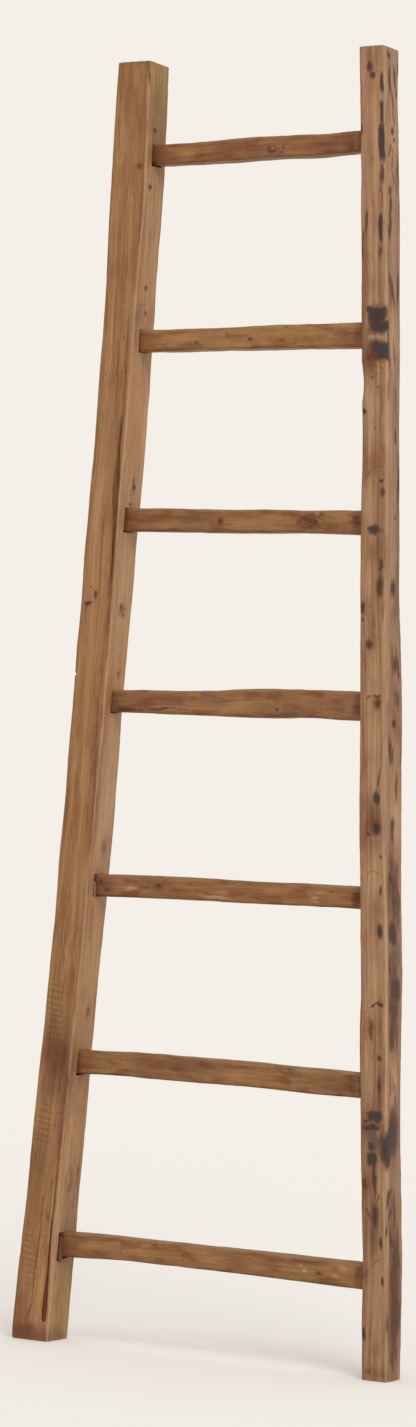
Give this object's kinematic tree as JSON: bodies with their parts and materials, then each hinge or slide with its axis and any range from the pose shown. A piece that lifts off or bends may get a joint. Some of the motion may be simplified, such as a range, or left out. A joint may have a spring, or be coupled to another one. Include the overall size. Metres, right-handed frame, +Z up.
{
  "type": "decorative ladder",
  "caption": "Old wooden leaning ladder with two hewn stiles closing in towards the top and square-edged rungs housed in mortises.",
  "frame": {"origin": "floor level, midway between the outer edges of the two feet and midway through the thickness of the thicker stile", "axes": "+X from the thicker stile to the thinner one, +Y towards the wall the ladder leans on, +Z up along the ladder"},
  "size_m": [0.6539, 0.06, 2],
  "materials": {
    "stile_wood": "aged, waxed, open grain",
    "stile_wood_stained": "aged, waxed, dark stains",
    "rung_wood": "aged, waxed, darker",
    "wedge_wood": "dark, rough"
  },
  "bodies": {
    "root": {"stile_left": "stile_wood", "stile_right": "stile_wood_stained", "rung_1": "rung_wood", "rung_2": "rung_wood", "rung_3": "rung_wood", "rung_4": "rung_wood", "rung_5": "rung_wood", "rung_6": "rung_wood", "rung_7": "rung_wood", "wedge_mid": "wedge_wood", "wedge_low": "wedge_wood"}
  },
  "joints": []
}
